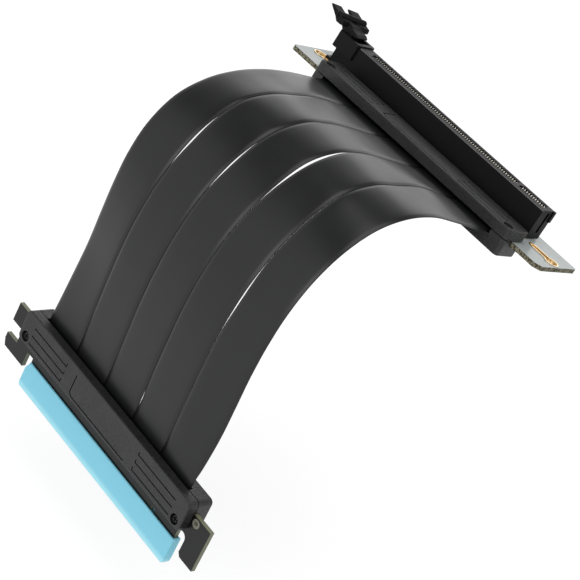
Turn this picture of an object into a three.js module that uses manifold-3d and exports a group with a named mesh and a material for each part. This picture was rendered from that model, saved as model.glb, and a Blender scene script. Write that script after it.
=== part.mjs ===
// A riser cable for a graphics card: a card-edge plug and a long slot joined by five flat ribbons.
// The plug stands upright with its gold fingers down, and the ribbons rise from it, arch over and
// run level into the slot end, whose mouth faces up. Lengths are in millimetres, angles in degrees.
// The origin is the middle of the card edge's bottom face. X runs from the plug towards the slot
// end, Y along both connectors towards the hook and the latch, and Z up.

import * as THREE from 'three';
import { mergeGeometries, mergeVertices } from 'three/addons/utils/BufferGeometryUtils.js';
import Module from 'manifold-3d';

const wasm = await Module();
wasm.setup();

// Shared sizes
const clearance = 0.3;           // between two pieces that seat on each other
const boardThickness = 1.6;
const arcSteps = 6;              // facets in a quarter of a small round corner
const rootIn = 0.5;              // how far a joined detail goes into the body that carries it
const past = 1;                  // how far a cutting tool goes past the body it cuts

// Card edge of the plug
const longTongue = 71.65;
const keyWidth = 1.9;
const shortTongue = 11.65;
const keyDepth = 8.8;
const fingerPitch = 1.0;
const fingerWidth = 0.7;
const fingersShort = 11;         // per face, on the short side of the key
const fingersLong = 71;          // per face, on the long side of the key
const fingerFirst = 1.5;         // from the key's centre line to the first finger's centre
const fingerBottom = 0.9;
const fingerHeight = 5.2;
const fingerThickness = 0.08;

// Plug board round the tongue
const plugBoardTop = 20.4;
const hookReach = 58.1;
const hookBottom = 3.4;
const hookToeTop = 8.1;
const hookToeRise = 2.4;
const hookGapTop = 13.3;
const hookNotchDepth = 5.8;
const hookSlitWidth = 3.4;
const hookSlitTop = 9.2;
const tabReach = 54.4;
const tabBottom = 4.7;
const tabSlitWidth = 4.1;
const tabSlitTop = 12.4;
const tabHoleRadius = 0.8;
const tabHoleFromEdge = 6.6;
const tabHoleBelowTop = 2.0;
const boardChamfer = 0.6;        // on each board's outer corners and the tongue's two
const toeChamfer = 1.2;          // on the lower corners of the hook and the tab

// Finger cap
const capWall = 0.55;
const capTop = 8.0;
const capFloor = 1.8;            // the solid bead along the cap's bottom
const capEndWall = 0.7;
const capCorner = 1.2;
const capEdge = 0.4;
const capSlant = [1.4, 3.0];      // cut off the cap's top corner on the latch side

// Two-shell housings, one on each end
const plugShellLength = 95.2;
const slotShellLength = 94.4;
const shellDepth = 11.2;         // from the board side to the ribbon side
const shellHalf = 4.85;          // from the board's middle plane to each outer face
const shellWall = 1.4;
const shellCorner = 1.7;
const shellBevel = 0.4;
const plugShellBottom = 13.9;    // above the card edge's bottom face
const plugShellShift = 1.8;      // of the housing's middle from the tongue's middle
const partingOffset = 1.1;       // from the board's middle plane to the parting plane
const cavityFromEnd = 6.6;
const grooveWidth = 0.45;
const grooveDepth = 0.35;
const grooveRows = [1.7, 4.7, 7.7];
const grooveFrom = { latch: 22.2, bracket: 20.6 };  // from the housing's middle
const grooveTo = 41.4;
const grooveTick = 0.9;          // the short turn at each line's inner end
const grooveBend = [[16.5, 8.5], [16.5, 2.1], [15.2, 1.2], [-15.6, 1.2]];

// Housing screws
const screwFromEnd = 3.3;         // of the housing
const screwFromEdge = 2.4;        // the edge that faces the other way at the slot end
const screwHeadRadius = 1.55;
const screwHeadHeight = 1.1;
const screwHeadSunk = 0.5;
const screwShankRadius = 0.8;
const screwReach = 3.0;          // past the board's middle plane
const screwSides = 14;
const crossLength = 2.0;
const crossWidth = 0.45;
const crossDepth = 0.6;
const screwHeadRound = 0.4;

// Ribbons
const ribbonCount = 5;
const ribbonWidth = 16.2;
const ribbonPitch = 16.56;
const ribbonThickness = 0.9;
const ribbonShift = 2.2;         // of the middle ribbon from the tongue's middle
const ribbonEndGap = 0.5;        // between a ribbon's end and the board's edge
const ribbonSteps = 30;

// Slot end: where it is held by the ribbons
const slotEndPlace = [88.23, 5.9, 115.62];
const slotEndDip = 9.34;         // the slot end tips down away from the ribbons
const slotEndSwing = 3.88;       // and turns a little about the vertical

// Slot board
const slotBoardLow = 59.65;      // from the housing's middle to the bracket end
const slotBoardHigh = 62.75;     // and to the latch end
const slotBoardFar = 16.3;       // from the housing's board side to the far edge
const slotBoardInShell = 6.4;
const slotBoardCorner = 2.2;
const slotBoardInnerChamfer = 1.0;
const keyholeFromLow = 3.1;      // from the bracket end to the round part's centre
const keyholeFromHigh = 4.0;     // from the latch end to the round part's centre
const keyholeAcross = 4.8;       // from the housing's board side
const keyholeRadius = 2.2;
const keyholeNeck = 1.1;         // half the width of the narrow part
const keyholeLength = 9.7;
const padRim = 0.45;
const padProud = 0.12;
const padWall = 0.25;
const padGap = 0.08;

// Slot connector
const slotLength = 89.0;
const slotWidth = 7.5;
const slotHeight = 11.0;
const slotCentre = 8.4;         // from the housing's board side
const slotShift = 0.25;          // of the slot's middle from the housing's middle
const slotMouth = 1.8;
const slotMouthDepth = 8.2;
const slotEndLand = 1.9;
const slotKeyFromEnd = 14.5;
const slotKeyWall = 1.5;
const slotLip = 0.5;
const slotLipWidth = 1.2;
const slotLipDrop = 4.0;
const slotEdge = 0.4;
const slotContacts = 82;
const cavityWidth = 0.62;
const cavityReach = 2.35;
const cavityDepth = 7.6;
const contactWidth = 0.32;
const contactThickness = 1.2;    // at the root, thinning to nothing at the tip
const contactReach = 0.15;       // how far the tips stand into the mouth
const contactRoot = 0.4;
const contactTop = 1.1;          // below the mouth
const contactFoot = 6.9;         // below the mouth
const endGrooveWidth = 1.3;
const endGrooveDepth = 0.5;
const endGrooveFoot = 2.2;       // above the slot's base
const endGrooveBelowTop = 0.9;
const endGrooveShift = 0.4;
const pegRadius = 1.1;
const pegSpread = 38.0;
const pegLength = 2.6;

// Latch tower and lever
const towerLength = 9.8;
const towerFrom = 46.5;          // from the slot's middle
const towerHalfWidth = 4.7;
const towerTop = 12.3;           // above the board's middle plane
const towerSkirt = 6.4;          // where the tower's wide cheeks begin
const towerFoot = 2.2;
const towerCorner = 0.6;
const towerStemInset = 1.8;      // of the narrow stem from the tower's outer end
const pocketHalfWidth = 3.4;
const pocketFloor = 3.0;
const pocketFromTower = 1.7;     // the wall between the mouth and the pocket
const pivotAlong = 6.9;          // from the tower's mouth side
const pivotBelowTop = 3.1;
const pivotRadius = 1.1;
const bossReach = 0.9;
const earHalfWidth = 4.5;
const earSlit = 0.8;
const earSlitDepth = 4.8;
const beadRadius = 1.0;
const beadPlace = [4.4, 6.5];
// The lever's side views, from its pivot: along the slot and up
const leverStem = [
  [-1.5, -3.8], [0.8, -3.8], [2.0, -1.2], [2.5, 1.4], [4.2, 3.7], [5.6, 4.0], [5.0, 6.6],
  [1.0, 6.3], [-0.2, 5.4], [-2.5, 4.9], [-3.6, 4.1], [-3.0, 3.5], [-1.4, 3.5], [-1.2, 1.4],
  [-1.8, -0.8],
];
const leverEars = [
  [3.7, 4.2], [4.4, 3.5], [6.8, 3.4], [8.4, 5.0], [11.9, 6.5], [11.5, 7.2], [7.8, 8.4],
  [3.9, 7.7],
];

const tongueLength = longTongue + keyWidth + shortTongue;
const keyCentre = -tongueLength / 2 + shortTongue + keyWidth / 2;
const boardHalf = boardThickness / 2;
const pivotY = towerFrom + pivotAlong;
const pivotX = towerTop - pivotBelowTop;

// Solids: closed three.js geometry in, manifold-3d for cuts and joins, geometry out
function solid(geometry) {
  const bare = geometry.clone();
  bare.deleteAttribute('normal');
  bare.deleteAttribute('uv');
  const merged = mergeVertices(bare, 1e-4);
  return new wasm.Manifold(new wasm.Mesh({
    numProp: 3,
    vertProperties: new Float32Array(merged.attributes.position.array),
    triVerts: new Uint32Array(merged.index.array),
  }));
}

function shape(manifold) {
  const mesh = manifold.getMesh();
  const geometry = new THREE.BufferGeometry();
  geometry.setAttribute('position', new THREE.BufferAttribute(mesh.vertProperties, 3));
  geometry.setIndex(new THREE.BufferAttribute(mesh.triVerts, 1));
  const flat = geometry.toNonIndexed();
  flat.computeVertexNormals();
  return flat;
}

function block([x0, x1], [y0, y1], [z0, z1]) {
  return new THREE.BoxGeometry(x1 - x0, y1 - y0, z1 - z0)
    .translate((x0 + x1) / 2, (y0 + y1) / 2, (z0 + z1) / 2);
}

// An outline in (Y, Z), (Z, X) or (X, Y), extruded along X, Y or Z
const outlineAxes = {
  x: [new THREE.Vector3(0, 1, 0), new THREE.Vector3(0, 0, 1), new THREE.Vector3(1, 0, 0)],
  y: [new THREE.Vector3(0, 0, 1), new THREE.Vector3(1, 0, 0), new THREE.Vector3(0, 1, 0)],
  z: [new THREE.Vector3(1, 0, 0), new THREE.Vector3(0, 1, 0), new THREE.Vector3(0, 0, 1)],
};

function extrude(axis, outline, from, to, bevel = 0) {
  const geometry = new THREE.ExtrudeGeometry(outline, {
    depth: to - from - 2 * bevel,
    bevelEnabled: bevel > 0,
    bevelThickness: bevel,
    bevelSize: bevel,
    bevelOffset: -bevel,
    bevelSegments: 2,
    curveSegments: arcSteps,
  });
  geometry.translate(0, 0, from + bevel);
  return geometry.applyMatrix4(new THREE.Matrix4().makeBasis(...outlineAxes[axis]));
}

function polygon(points) {
  return new THREE.Shape(points.map(([a, b]) => new THREE.Vector2(a, b)));
}

function roundedBox([a0, a1], [b0, b1], radius) {
  const outline = new THREE.Shape();
  outline.moveTo(a0 + radius, b0);
  outline.lineTo(a1 - radius, b0);
  outline.absarc(a1 - radius, b0 + radius, radius, -Math.PI / 2, 0);
  outline.lineTo(a1, b1 - radius);
  outline.absarc(a1 - radius, b1 - radius, radius, 0, Math.PI / 2);
  outline.lineTo(a0 + radius, b1);
  outline.absarc(a0 + radius, b1 - radius, radius, Math.PI / 2, Math.PI);
  outline.lineTo(a0, b0 + radius);
  outline.absarc(a0 + radius, b0 + radius, radius, Math.PI, Math.PI * 1.5);
  return outline;
}

function rodAlongX(radius, from, to, y, z, sides = 16) {
  return new THREE.CylinderGeometry(radius, radius, to - from, sides)
    .rotateZ(-Math.PI / 2).translate((from + to) / 2, y, z);
}

function rodAlongZ(radius, from, to, x, y, sides = 16) {
  return new THREE.CylinderGeometry(radius, radius, to - from, sides)
    .rotateX(Math.PI / 2).translate(x, y, (from + to) / 2);
}

function cut(body, ...tools) {
  return tools.reduce((rest, tool) => rest.subtract(solid(tool)), body);
}

// Materials
const finish = {
  board: new THREE.MeshStandardMaterial({ color: 0x1b1d1c, roughness: 0.3, metalness: 0 }),
  slotBoard: new THREE.MeshStandardMaterial({ color: 0x8f989b, roughness: 0.25, metalness: 0.2 }),
  gold: new THREE.MeshStandardMaterial({ color: 0xc8a05a, roughness: 0.3, metalness: 1 }),
  shell: new THREE.MeshStandardMaterial({ color: 0x2a2a2c, roughness: 0.75, metalness: 0 }),
  slot: new THREE.MeshStandardMaterial({ color: 0x1c1c1e, roughness: 0.55, metalness: 0 }),
  screw: new THREE.MeshStandardMaterial({ color: 0x18181a, roughness: 0.4, metalness: 0.8 }),
  ribbon: new THREE.MeshStandardMaterial({ color: 0x161617, roughness: 0.45, metalness: 0 }),
  cap: new THREE.MeshStandardMaterial({ color: 0x7ec8de, roughness: 0.5, metalness: 0 }),
};

function add(group, name, geometry, material) {
  const mesh = new THREE.Mesh(geometry, material);
  mesh.name = name;
  group.add(mesh);
}

// Each end is built in one frame: X through the board's thickness, Y along the connector and
// Z from the housing's board side towards the ribbons. The housing's face is at faceSide * X.

function sorted(a, b) {
  return a < b ? [a, b] : [b, a];
}

function screwPlaces(end) {
  const reach = end.shellLength / 2 - screwFromEnd;
  return [end.middle - reach, end.middle + reach];
}

// The same moulding serves both ends. At the slot end it is turned half round in its own plane.
function fromEdge(end, distance) {
  return end.turned ? shellDepth - distance : distance;
}

// One blank for both halves, sawn apart at the parting plane with a hairline between them
function housingHalves(end) {
  const far = end.shellLength;
  const outline = roundedBox(
    [end.middle - end.shellLength / 2, end.middle + end.shellLength / 2], [0, shellDepth], shellCorner);
  const blank = solid(extrude('x', outline, -shellHalf, shellHalf, shellBevel));
  const parting = end.faceSide * partingOffset;
  const edge = end.faceSide * clearance / 2;
  const wide = [-far, far];
  return {
    face: cut(blank, block(sorted(parting + edge, -end.faceSide * far), wide, wide)),
    back: cut(blank, block(sorted(parting - edge, end.faceSide * far), wide, wide)),
  };
}

function groove(faceSide, from, to) {
  const depth = sorted(faceSide * (shellHalf - grooveDepth), faceSide * (shellHalf + past));
  const length = Math.hypot(to[0] - from[0], to[1] - from[1]) + grooveWidth;
  return block(depth, [-length / 2, length / 2], [-grooveWidth / 2, grooveWidth / 2])
    .rotateX(Math.atan2(to[1] - from[1], to[0] - from[0]))
    .translate(0, (from[0] + to[0]) / 2, (from[1] + to[1]) / 2);
}

function cavity(end, xRange) {
  const reach = end.shellLength / 2 - cavityFromEnd;
  return block(xRange, [end.middle - reach, end.middle + reach], [shellWall, shellDepth - shellWall]);
}

// The face half: moulded grooves, screw recesses and a cavity over the solder joints
function faceShell(blank, end) {
  const { faceSide } = end;
  const place = ([along, distance]) => [end.middle + along, fromEdge(end, distance)];
  const line = (from, to) => groove(faceSide, place(from), place(to));
  const tools = [cavity(end, sorted(faceSide * (shellHalf - shellWall), 0))];
  for (const row of grooveRows) {
    for (const [inner, outer] of [[grooveFrom.latch, grooveTo], [-grooveFrom.bracket, -grooveTo]]) {
      tools.push(line([inner, row], [outer, row]));
      tools.push(line([inner, row], [inner, row + grooveTick]));
    }
  }
  for (let i = 0; i + 1 < grooveBend.length; i += 1) {
    tools.push(line(grooveBend[i], grooveBend[i + 1]));
  }
  const seat = faceSide * (shellHalf - screwHeadSunk - screwHeadHeight - clearance);
  const recess = sorted(seat, faceSide * 2 * shellHalf);
  for (const y of screwPlaces(end)) {
    const z = fromEdge(end, screwFromEdge);
    tools.push(rodAlongX(screwHeadRadius + clearance, ...recess, y, z, 20));
    tools.push(rodAlongX(screwShankRadius + clearance, ...sorted(0, faceSide * shellHalf), y, z));
  }
  return cut(blank, ...tools);
}

// The back half: it wraps the board's edge, the ribbons pass over it, and the screws end in it
function backShell(blank, end) {
  const { faceSide } = end;
  const parting = faceSide * (partingOffset + clearance);
  const boardSeat = -faceSide * (boardHalf + clearance);
  const ribbonSeat = -faceSide * (ribbonThickness / 2 + clearance);
  const ribbonReach = (ribbonCount * ribbonPitch) / 2 + clearance;
  const tools = [
    block(sorted(parting, boardSeat), [-end.shellLength, end.shellLength],
      [-shellDepth, end.boardEdge + clearance]),
    block(sorted(parting, ribbonSeat),
      [end.ribbonMiddle - ribbonReach, end.ribbonMiddle + ribbonReach],
      [end.boardEdge, 2 * shellDepth]),
    cavity(end, sorted(-faceSide * (shellHalf - shellWall), 0)),
  ];
  for (const y of screwPlaces(end)) {
    tools.push(rodAlongX(screwShankRadius + clearance,
      ...sorted(faceSide * shellHalf, -faceSide * (screwReach + clearance)),
      y, fromEdge(end, screwFromEdge)));
  }
  return cut(blank, ...tools);
}

function housingScrew(end, y) {
  const { faceSide } = end;
  const headTop = shellHalf - screwHeadSunk;
  const headSeat = headTop - screwHeadHeight;
  const headProfile = [
    [0, -screwReach], [screwShankRadius, -screwReach], [screwShankRadius, headSeat],
    [screwHeadRadius, headSeat], [screwHeadRadius, headTop - screwHeadRound],
    [screwHeadRadius - screwHeadRound, headTop], [0, headTop],
  ].map(([r, h]) => new THREE.Vector2(r, h));
  const turned = new THREE.LatheGeometry(headProfile, screwSides).rotateZ(-faceSide * Math.PI / 2);
  const across = sorted(faceSide * (headTop - crossDepth), faceSide * (headTop + crossDepth));
  const half = crossLength / 2;
  const thin = crossWidth / 2;
  return shape(cut(solid(turned),
    block(across, [-half, half], [-thin, thin]),
    block(across, [-thin, thin], [-half, half])).translate([0, y, fromEdge(end, screwFromEdge)]));
}

function addHousing(group, prefix, [faceName, backName], end) {
  const halves = housingHalves(end);
  const [bracketSide, latchSide] = screwPlaces(end);
  add(group, `${prefix}_${faceName}`, shape(faceShell(halves.face, end)), finish.shell);
  add(group, `${prefix}_${backName}`, shape(backShell(halves.back, end)), finish.shell);
  add(group, `${prefix}_screw_latch_side`, housingScrew(end, latchSide), finish.screw);
  add(group, `${prefix}_screw_bracket_side`, housingScrew(end, bracketSide), finish.screw);
}

// The plug end, with the tongue's middle at Y = 0
const plug = new THREE.Group();
plug.position.z = plugShellBottom;
const plugEnd = {
  middle: plugShellShift,
  faceSide: -1,
  turned: false,
  shellLength: plugShellLength,
  boardEdge: plugBoardTop - plugShellBottom,
  ribbonMiddle: ribbonShift,
};

function plugBoard() {
  const tongue = tongueLength / 2;
  const low = -plugShellBottom;
  const top = plugBoardTop + low;
  const slitEnd = tongue + hookSlitWidth;
  const tabStart = tongue + tabSlitWidth;
  const slitRound = tabSlitWidth / 2;
  const outline = new THREE.Shape();
  outline.moveTo(-tabReach, top);
  outline.lineTo(-tabReach, tabBottom + low);
  outline.lineTo(-tabStart - toeChamfer, tabBottom + low);
  outline.lineTo(-tabStart, tabBottom + low + toeChamfer);
  outline.lineTo(-tabStart, tabSlitTop + low - slitRound);
  outline.absarc(-tabStart + slitRound, tabSlitTop + low - slitRound, slitRound, Math.PI, 0, true);
  outline.lineTo(-tongue, low + boardChamfer);
  outline.lineTo(-tongue + boardChamfer, low);
  outline.lineTo(keyCentre - keyWidth / 2, low);
  outline.lineTo(keyCentre - keyWidth / 2, low + keyDepth);
  outline.absarc(keyCentre, low + keyDepth, keyWidth / 2, Math.PI, 0, true);
  outline.lineTo(keyCentre + keyWidth / 2, low);
  outline.lineTo(tongue - boardChamfer, low);
  outline.lineTo(tongue, low + boardChamfer);
  outline.lineTo(tongue, hookSlitTop + low);
  outline.lineTo(slitEnd, hookSlitTop + low);
  outline.lineTo(slitEnd, hookBottom + low);
  outline.lineTo(hookReach - toeChamfer, hookBottom + low);
  outline.lineTo(hookReach, hookBottom + low + hookToeRise);
  outline.lineTo(hookReach, hookToeTop + low);
  outline.lineTo(hookReach - hookNotchDepth, hookToeTop + low);
  outline.lineTo(hookReach - hookNotchDepth, hookGapTop + low);
  outline.lineTo(hookReach, hookGapTop + low);
  outline.lineTo(hookReach, top);
  outline.closePath();
  const tools = [
    rodAlongX(tabHoleRadius, -boardThickness, boardThickness,
      -tabReach + tabHoleFromEdge, top - tabHoleBelowTop, 12),
  ];
  for (const y of screwPlaces(plugEnd)) {
    tools.push(rodAlongX(screwShankRadius + clearance, -boardThickness, boardThickness,
      y, screwFromEdge));
  }
  return shape(cut(solid(extrude('x', outline, -boardHalf, boardHalf)), ...tools)
    .add(solid(edgeFingers(-1))).add(solid(edgeFingers(1))));
}

// One row of gold fingers, plated onto one face of the tongue
function edgeFingers(side) {
  const fingers = [];
  const x = sorted(side * boardHalf / 2, side * (boardHalf + fingerThickness));
  const z = [fingerBottom - plugShellBottom, fingerBottom + fingerHeight - plugShellBottom];
  const place = (offset) => {
    const y = keyCentre + offset;
    fingers.push(block(x, [y - fingerWidth / 2, y + fingerWidth / 2], z));
  };
  for (let i = 0; i < fingersShort; i += 1) place(-fingerFirst - i * fingerPitch);
  for (let i = 0; i < fingersLong; i += 1) place(fingerFirst + i * fingerPitch);
  return mergeGeometries(fingers);
}

// The push-on cap: a soft U channel with closed ends and a solid bead below the card edge
function fingerCap() {
  const inner = boardHalf + clearance;
  const outer = inner + capWall;
  const innerEnd = tongueLength / 2 + clearance;
  const outerEnd = innerEnd + capEndWall;
  const bottom = -clearance - capFloor - plugShellBottom;
  const top = capTop - plugShellBottom;
  const side = new THREE.Shape();
  side.moveTo(-outerEnd + capCorner, bottom);
  side.lineTo(outerEnd - capCorner, bottom);
  side.absarc(outerEnd - capCorner, bottom + capCorner, capCorner, -Math.PI / 2, 0);
  side.lineTo(outerEnd, top - capSlant[1]);
  side.lineTo(outerEnd - capSlant[0], top);
  side.lineTo(-outerEnd, top);
  side.lineTo(-outerEnd, bottom + capCorner);
  side.absarc(-outerEnd + capCorner, bottom + capCorner, capCorner, Math.PI, Math.PI * 1.5);
  return shape(cut(solid(extrude('x', side, -outer, outer, capEdge)),
    block([-inner, inner], [-innerEnd, innerEnd], [-clearance - plugShellBottom, top + past])));
}

add(plug, 'plug_board', plugBoard(), finish.board);
add(plug, 'finger_cap', fingerCap(), finish.cap);
addHousing(plug, 'plug', ['front_shell', 'back_shell'], plugEnd);

// The slot end, with the housing's middle at Y = 0 and the slot standing on the board's +X face
const slotEnd = new THREE.Group();
slotEnd.position.set(...slotEndPlace);
slotEnd.rotation.set(0, THREE.MathUtils.degToRad(slotEndDip - 90),
  THREE.MathUtils.degToRad(slotEndSwing), 'ZYX');
const slotRibbonMiddle = 0.85;
const slotHousing = {
  middle: 0,
  faceSide: 1,
  turned: true,
  shellLength: slotShellLength,
  boardEdge: slotBoardInShell,
  ribbonMiddle: slotRibbonMiddle,
};

// A keyhole's outline: a round hole near the board's end and a narrow neck towards the middle
function keyhole(end, grow) {
  const inward = -Math.sign(end);
  const roundY = end + (inward > 0 ? keyholeFromLow : -keyholeFromHigh);
  const radius = keyholeRadius + grow;
  const neck = keyholeNeck + grow;
  const open = Math.asin(neck / radius);
  const tip = roundY + inward * keyholeLength;
  const outline = new THREE.Shape();
  const z = -keyholeAcross;
  if (inward > 0) {
    outline.absarc(roundY, z, radius, open, 2 * Math.PI - open, false);
    outline.absarc(tip - keyholeNeck, z, neck, -Math.PI / 2, Math.PI / 2, false);
  } else {
    outline.absarc(roundY, z, radius, Math.PI + open, 3 * Math.PI - open, false);
    outline.absarc(tip + keyholeNeck, z, neck, Math.PI / 2, Math.PI * 1.5, false);
  }
  outline.closePath();
  return outline;
}

function slotBoard() {
  const c = slotBoardCorner;
  const outline = polygon([
    [-slotBoardLow, -slotBoardFar + boardChamfer], [-slotBoardLow + boardChamfer, -slotBoardFar],
    [slotBoardHigh - boardChamfer, -slotBoardFar], [slotBoardHigh, -slotBoardFar + boardChamfer],
    [slotBoardHigh, slotBoardInShell - slotBoardInnerChamfer],
    [slotBoardHigh - slotBoardInnerChamfer, slotBoardInShell],
    [-slotBoardLow + c, slotBoardInShell], [-slotBoardLow, slotBoardInShell - c],
  ]);
  const grow = padWall + padGap;
  const tools = [
    extrude('x', keyhole(-slotBoardLow, grow), -boardThickness, boardThickness),
    extrude('x', keyhole(slotBoardHigh, grow), -boardThickness, boardThickness),
  ];
  for (const side of [-1, 1]) {
    tools.push(rodAlongX(pegRadius + clearance, -boardThickness, boardThickness,
      slotShift + side * pegSpread, -slotCentre));
  }
  return shape(cut(solid(extrude('x', outline, -boardHalf, boardHalf)), ...tools));
}

// A plated keyhole: the lining of its wall and a thin rim on both faces of the board
function keyholePad(end) {
  const rimFrom = boardHalf + padGap;
  const rimTo = rimFrom + padProud;
  const lining = solid(extrude('x', keyhole(end, padWall), -rimTo, rimTo));
  const rims = [-1, 1].map((side) => solid(extrude('x', keyhole(end, padRim),
    ...sorted(side * rimFrom, side * rimTo))));
  const hole = extrude('x', keyhole(end, 0), -rimTo - past, rimTo + past);
  return shape(cut(lining.add(rims[0]).add(rims[1]), hole));
}

// The slot connector: mouth, key wall, contact cavities, grooved end, latch tower and pegs
function slotBody() {
  const base = boardHalf + clearance;
  const top = boardHalf + slotHeight;
  const half = slotWidth / 2;
  const low = -slotLength / 2;
  const towerEnd = towerFrom + towerLength;
  const z = -slotCentre;
  const around = (reach) => [z - reach, z + reach];
  const section = polygon([
    [z - half, base], [z + half, base], [z + half, top - slotEdge], [z + half - slotEdge, top],
    [z - half + slotEdge, top], [z - half, top - slotEdge],
  ]);
  const body = solid(extrude('y', section, low, towerFrom + rootIn));
  const tower = solid(extrude('x', roundedBox([towerFrom, towerEnd], around(towerHalfWidth),
    towerCorner), towerSkirt, towerTop));
  const stem = solid(block([base, towerSkirt + rootIn],
    [towerFrom - rootIn, towerEnd - towerStemInset], around(half)));
  const foot = solid(block([base, towerFoot], [towerFrom, towerEnd], around(half)));
  const lip = solid(block([top - slotLipDrop, top], [low - slotLip, low + rootIn],
    [z - half, z - half + slotLipWidth]));
  const pegs = [-1, 1].map((side) => solid(rodAlongX(pegRadius, boardHalf - pegLength,
    base + rootIn, side * pegSpread, z)));

  const floor = top - slotMouthDepth;
  const mouthEnd = -low - slotEndLand;
  const keyAt = low + slotKeyFromEnd;
  const mouth = [[-mouthEnd, keyAt - slotKeyWall / 2], [keyAt + slotKeyWall / 2, mouthEnd]]
    .map((y) => block([floor, towerTop + past], y, around(slotMouth / 2)));
  const cavities = contactPlaces().map((y) => block([top - cavityDepth, top + past],
    [y - cavityWidth / 2, y + cavityWidth / 2], around(cavityReach)));
  const endGroove = block([base + endGrooveFoot, top - endGrooveBelowTop],
    [low - past, low + endGrooveDepth],
    [z - endGrooveWidth / 2 - endGrooveShift, z + endGrooveWidth / 2 - endGrooveShift]);
  const pocket = block([pocketFloor, towerTop + past],
    [towerFrom + pocketFromTower, towerEnd + past], around(pocketHalfWidth));
  const pivot = rodAlongZ(pivotRadius + clearance,
    ...around(pocketHalfWidth + bossReach + clearance), pivotX, pivotY);
  const joined = body.add(tower).add(stem).add(foot).add(lip).add(pegs[0]).add(pegs[1]);
  const hollow = cut(joined, ...mouth, mergeGeometries(cavities), endGroove, pocket, pivot);
  return shape(hollow.add(solid(contactRow(1))).add(solid(contactRow(-1))));
}

// Contact places along the slot, an even pitch with the key's width left out
function contactPlaces() {
  const first = -slotLength / 2 + slotKeyFromEnd;
  const places = [];
  for (let i = 0; i < slotContacts; i += 1) {
    places.push(i < fingersShort ? first - fingerFirst - i * fingerPitch
      : first + fingerFirst + (i - fingersShort) * fingerPitch);
  }
  return places;
}

// One row of contact springs, each rooted in its cavity's outer wall and leaning to the mouth
function contactRow(side) {
  const top = boardHalf + slotHeight - contactTop;
  const foot = boardHalf + slotHeight - contactFoot;
  const tip = slotMouth / 2 - contactReach;
  const springs = contactPlaces().map((y) => {
    const outline = polygon([
      [tip, top], [cavityReach + contactRoot, foot],
      [cavityReach + contactRoot, foot + contactThickness],
    ].map(([z, x]) => [side * z - slotCentre, x]));
    return extrude('y', outline, y - contactWidth / 2, y + contactWidth / 2);
  });
  return mergeGeometries(springs);
}

// The latch lever: a stem on its stub axles, a nose over the mouth and two ears with a bead
function latchLever() {
  const z = -slotCentre;
  const stemHalf = pocketHalfWidth - clearance;
  const sideView = (points) => polygon(points.map(([along, up]) => [pivotX + up, pivotY + along]));
  const stem = solid(extrude('z', sideView(leverStem), z - stemHalf, z + stemHalf));
  const ears = solid(extrude('z', sideView(leverEars), z - earHalfWidth, z + earHalfWidth));
  const bead = solid(rodAlongZ(beadRadius, z - earHalfWidth, z + earHalfWidth,
    pivotX + beadPlace[1], pivotY + beadPlace[0], 12));
  const axleReach = pocketHalfWidth + bossReach;
  const axle = solid(rodAlongZ(pivotRadius, z - axleReach, z + axleReach, pivotX, pivotY));
  const tip = Math.max(...leverEars.map(([along]) => along));
  const slit = block([pivotX, pivotX + 3 * tip], [pivotY + tip - earSlitDepth, pivotY + 2 * tip],
    [z - earSlit / 2, z + earSlit / 2]);
  return shape(cut(stem.add(ears).add(bead).add(axle), slit));
}

add(slotEnd, 'slot_board', slotBoard(), finish.slotBoard);
add(slotEnd, 'keyhole_plating_bracket_side', keyholePad(-slotBoardLow), finish.gold);
add(slotEnd, 'keyhole_plating_latch_side', keyholePad(slotBoardHigh), finish.gold);
const connector = new THREE.Group();
connector.position.y = slotShift;
slotEnd.add(connector);
add(connector, 'slot_connector', slotBody(), finish.slot);
add(connector, 'latch_lever', latchLever(), finish.slot);
addHousing(slotEnd, 'slot', ['upper_shell', 'lower_shell'], slotHousing);

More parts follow.
